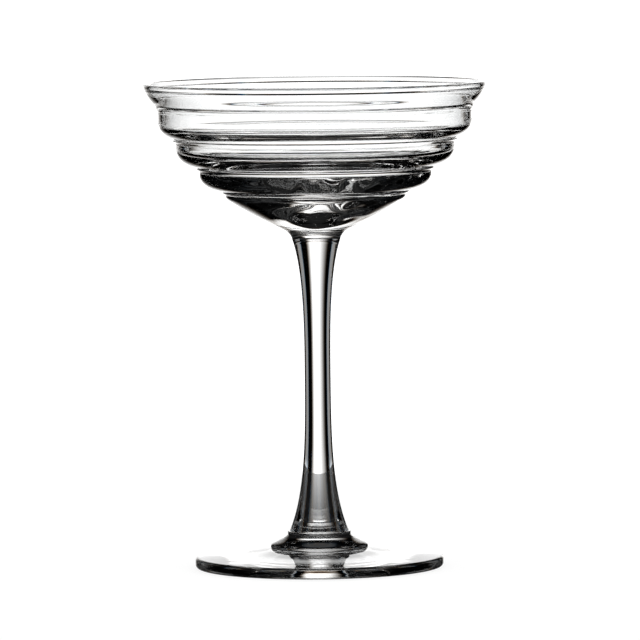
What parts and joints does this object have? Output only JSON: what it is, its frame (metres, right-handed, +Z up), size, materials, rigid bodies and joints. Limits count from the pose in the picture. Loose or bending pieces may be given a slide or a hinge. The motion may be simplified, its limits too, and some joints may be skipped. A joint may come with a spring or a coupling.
{
  "type": "cocktail coupe",
  "caption": "Stemmed cocktail coupe of clear glass with a wide shallow bowl in stepped tiers, a flared lip, a slender stem, a button and a flat foot.",
  "frame": {"origin": "middle of the circle that the foot stands on, at table height", "axes": "+Z up along the stem, through the middle of foot, button, stem and bowl; +X and +Y lie in the table plane"},
  "size_m": [0.1, 0.1, 0.1415],
  "materials": {
    "clear_glass": "fire-polished, smooth and colourless"
  },
  "bodies": {
    "root": {"bowl": "clear_glass", "stem": "clear_glass", "button": "clear_glass", "foot": "clear_glass"}
  },
  "joints": []
}
